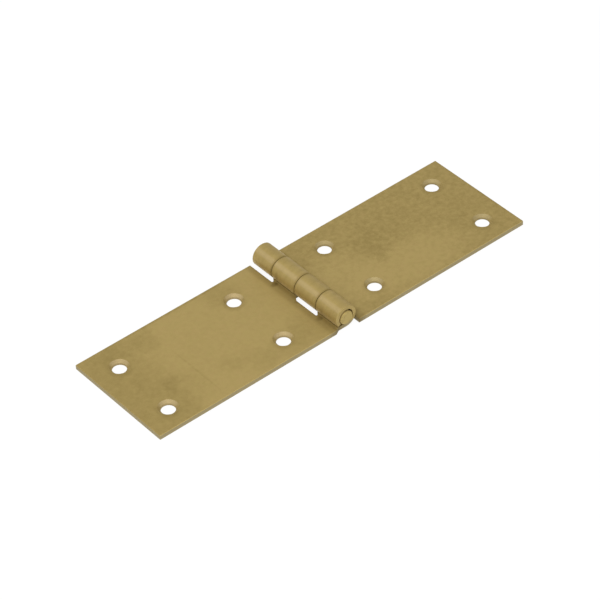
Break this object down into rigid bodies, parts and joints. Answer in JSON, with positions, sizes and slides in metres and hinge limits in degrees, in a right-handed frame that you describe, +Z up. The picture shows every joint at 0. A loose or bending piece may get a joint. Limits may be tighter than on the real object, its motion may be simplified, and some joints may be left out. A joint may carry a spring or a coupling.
{
  "type": "box hinge",
  "caption": "Flat sheet-metal box hinge: two rectangular leaves with countersunk screw holes, their tongues rolled into interleaved knuckles round a plain pin.",
  "frame": {"origin": "middle of the open hinge on the plane that the leaves rest on, under the pin", "axes": "+X along the right leaf, +Y along the pin, +Z up out of the countersunk faces, towards the knuckles"},
  "size_m": [0.14, 0.0406, 0.0077],
  "materials": {
    "leaf_plating": "satin",
    "pin_plating": "satin"
  },
  "bodies": {
    "left": {"left_leaf": "leaf_plating", "hinge_pin": "pin_plating"},
    "right": {"right_leaf": "leaf_plating"}
  },
  "joints": [
    {"name": "fold", "type": "hinge", "parent": "left", "child": "right", "pos_m": [0, 0, 0.00385], "axis": [0, -1, 0], "range_deg": [-70, 183]}
  ]
}
